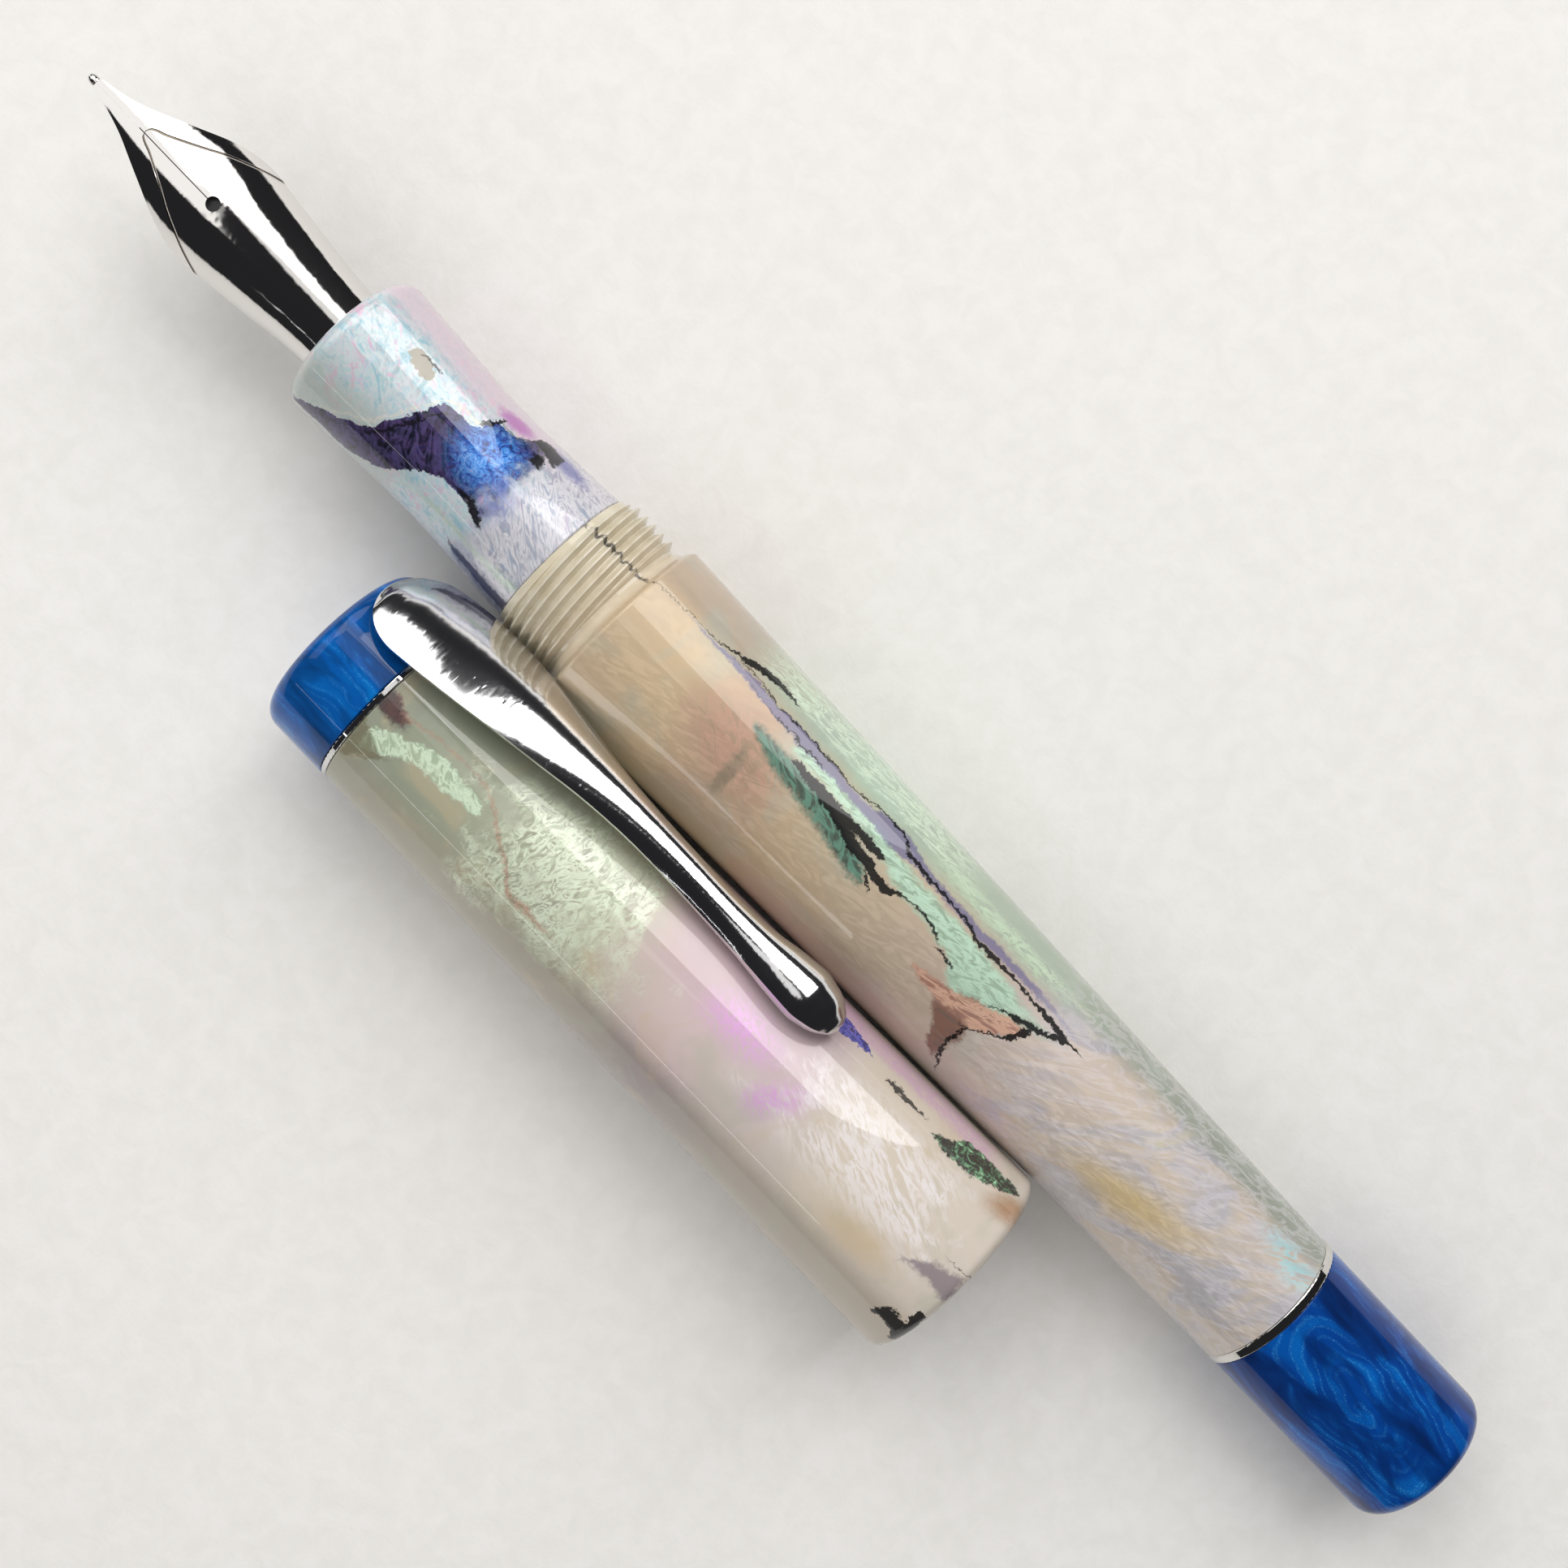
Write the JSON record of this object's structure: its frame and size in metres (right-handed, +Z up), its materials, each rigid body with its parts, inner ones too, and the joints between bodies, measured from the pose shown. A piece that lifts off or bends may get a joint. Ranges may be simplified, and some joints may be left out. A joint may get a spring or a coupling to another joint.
{
  "type": "fountain pen",
  "caption": "Tapered screw-cap fountain pen uncapped beside its cap, with slit nib, waisted grip, triple-start cap thread, blind cap, piston converter and drop-shaped pocket clip",
  "frame": {"origin": "centre of the footprint of pen and cap together, on the surface that they lie on", "axes": "+X along the pen from the nib to the blind cap, +Y from the cap to the pen, +Z up"},
  "size_m": [0.1322, 0.029, 0.0163],
  "materials": {
    "pearl_resin": "polished pearlescent resin, cream with blue-black, green and violet veins",
    "blue_resin": "polished pearlescent deep blue resin",
    "plated_trim": "polished plating",
    "nib_steel": "polished stainless steel",
    "tipping": "ground and polished hard tipping",
    "black_plastic": "moulded black plastic",
    "clear_plastic": "clear moulded plastic",
    "seal_rubber": "smooth",
    "converter_metal": "polished sleeve"
  },
  "bodies": {
    "barrel": {"barrel": "pearl_resin"},
    "section_seal": {"section_oring": "seal_rubber"},
    "section": {"section": "pearl_resin", "nib_housing": "black_plastic"},
    "nib_unit": {"nib": "nib_steel", "nib_tip_left": "tipping", "nib_tip_right": "tipping", "feed": "black_plastic"},
    "converter": {"converter_mouth": "clear_plastic", "converter_tube": "clear_plastic", "converter_collar": "converter_metal", "converter_guide": "black_plastic"},
    "piston": {"converter_seal": "seal_rubber", "converter_rod": "black_plastic"},
    "converter_knob": {"converter_knob": "black_plastic"},
    "blind_cap_ring": {"blind_cap_ring": "plated_trim"},
    "blind_cap": {"blind_cap": "blue_resin"},
    "cap": {"cap_body": "pearl_resin"},
    "clip_ring": {"clip_ring": "plated_trim"},
    "clip": {"clip": "plated_trim"},
    "finial": {"cap_finial": "blue_resin"}
  },
  "joints": [
    {"name": "section_travel", "type": "slide", "parent": "barrel", "child": "section_seal", "axis": [-0.9998, 0, 0.0185], "range_m": [0, 0.007]},
    {"name": "section_screw", "type": "hinge", "parent": "section_seal", "child": "section", "pos_m": [-0.02033, 0.00746, 0.00717], "axis": [-0.9998, 0, 0.0185], "range_deg": [0, 2520]},
    {"name": "nib_pull", "type": "slide", "parent": "section", "child": "nib_unit", "axis": [-0.9998, 0, 0.0185], "range_m": [0, 0.0116]},
    {"name": "converter_pull", "type": "slide", "parent": "section", "child": "converter", "axis": [0.9998, 0, -0.0185], "range_m": [0, 0.0048]},
    {"name": "piston_travel", "type": "slide", "parent": "converter", "child": "piston", "axis": [0.9998, 0, -0.0185], "range_m": [0, 0.0244]},
    {"name": "converter_knob_turn", "type": "hinge", "parent": "converter", "child": "converter_knob", "pos_m": [0.03336, 0.00746, 0.00618], "axis": [-0.9998, 0, 0.0185], "range_deg": [0, 1440]},
    {"name": "blind_cap_travel", "type": "slide", "parent": "barrel", "child": "blind_cap_ring", "axis": [0.9998, 0, -0.0185], "range_m": [0, 0.0075]},
    {"name": "blind_cap_screw", "type": "hinge", "parent": "blind_cap_ring", "child": "blind_cap", "pos_m": [0.05008, 0.00746, 0.00587], "axis": [0.9998, 0, -0.0185], "range_deg": [0, 3600]},
    {"name": "cap_lift", "type": "slide", "parent": "barrel", "child": "cap", "axis": [0, 0, 1], "range_m": [0, 0.05]},
    {"name": "finial_travel", "type": "slide", "parent": "cap", "child": "clip_ring", "axis": [-0.9997, -0.0181, -0.0139], "range_m": [0, 0.0042]},
    {"name": "finial_screw", "type": "hinge", "parent": "clip_ring", "child": "finial", "pos_m": [-0.02123, -0.00741, 0.00709], "axis": [-0.9997, -0.0181, -0.0139], "range_deg": [0, 2016]},
    {"name": "clip_flex", "type": "hinge", "parent": "clip_ring", "child": "clip", "pos_m": [-0.02116, -0.00179, 0.01282], "axis": [0.0032, -0.7133, 0.7008], "range_deg": [0, 4], "stiffness_Nm_per_rad": 2.6}
  ],
  "couplings": [
    {"joint": "section_screw", "follows": "section_travel", "rad_per_m": 6283.2},
    {"joint": "converter_knob_turn", "follows": "piston_travel", "rad_per_m": 1030},
    {"joint": "blind_cap_screw", "follows": "blind_cap_travel", "rad_per_m": 8377.6},
    {"joint": "finial_screw", "follows": "finial_travel", "rad_per_m": 8377.6}
  ]
}
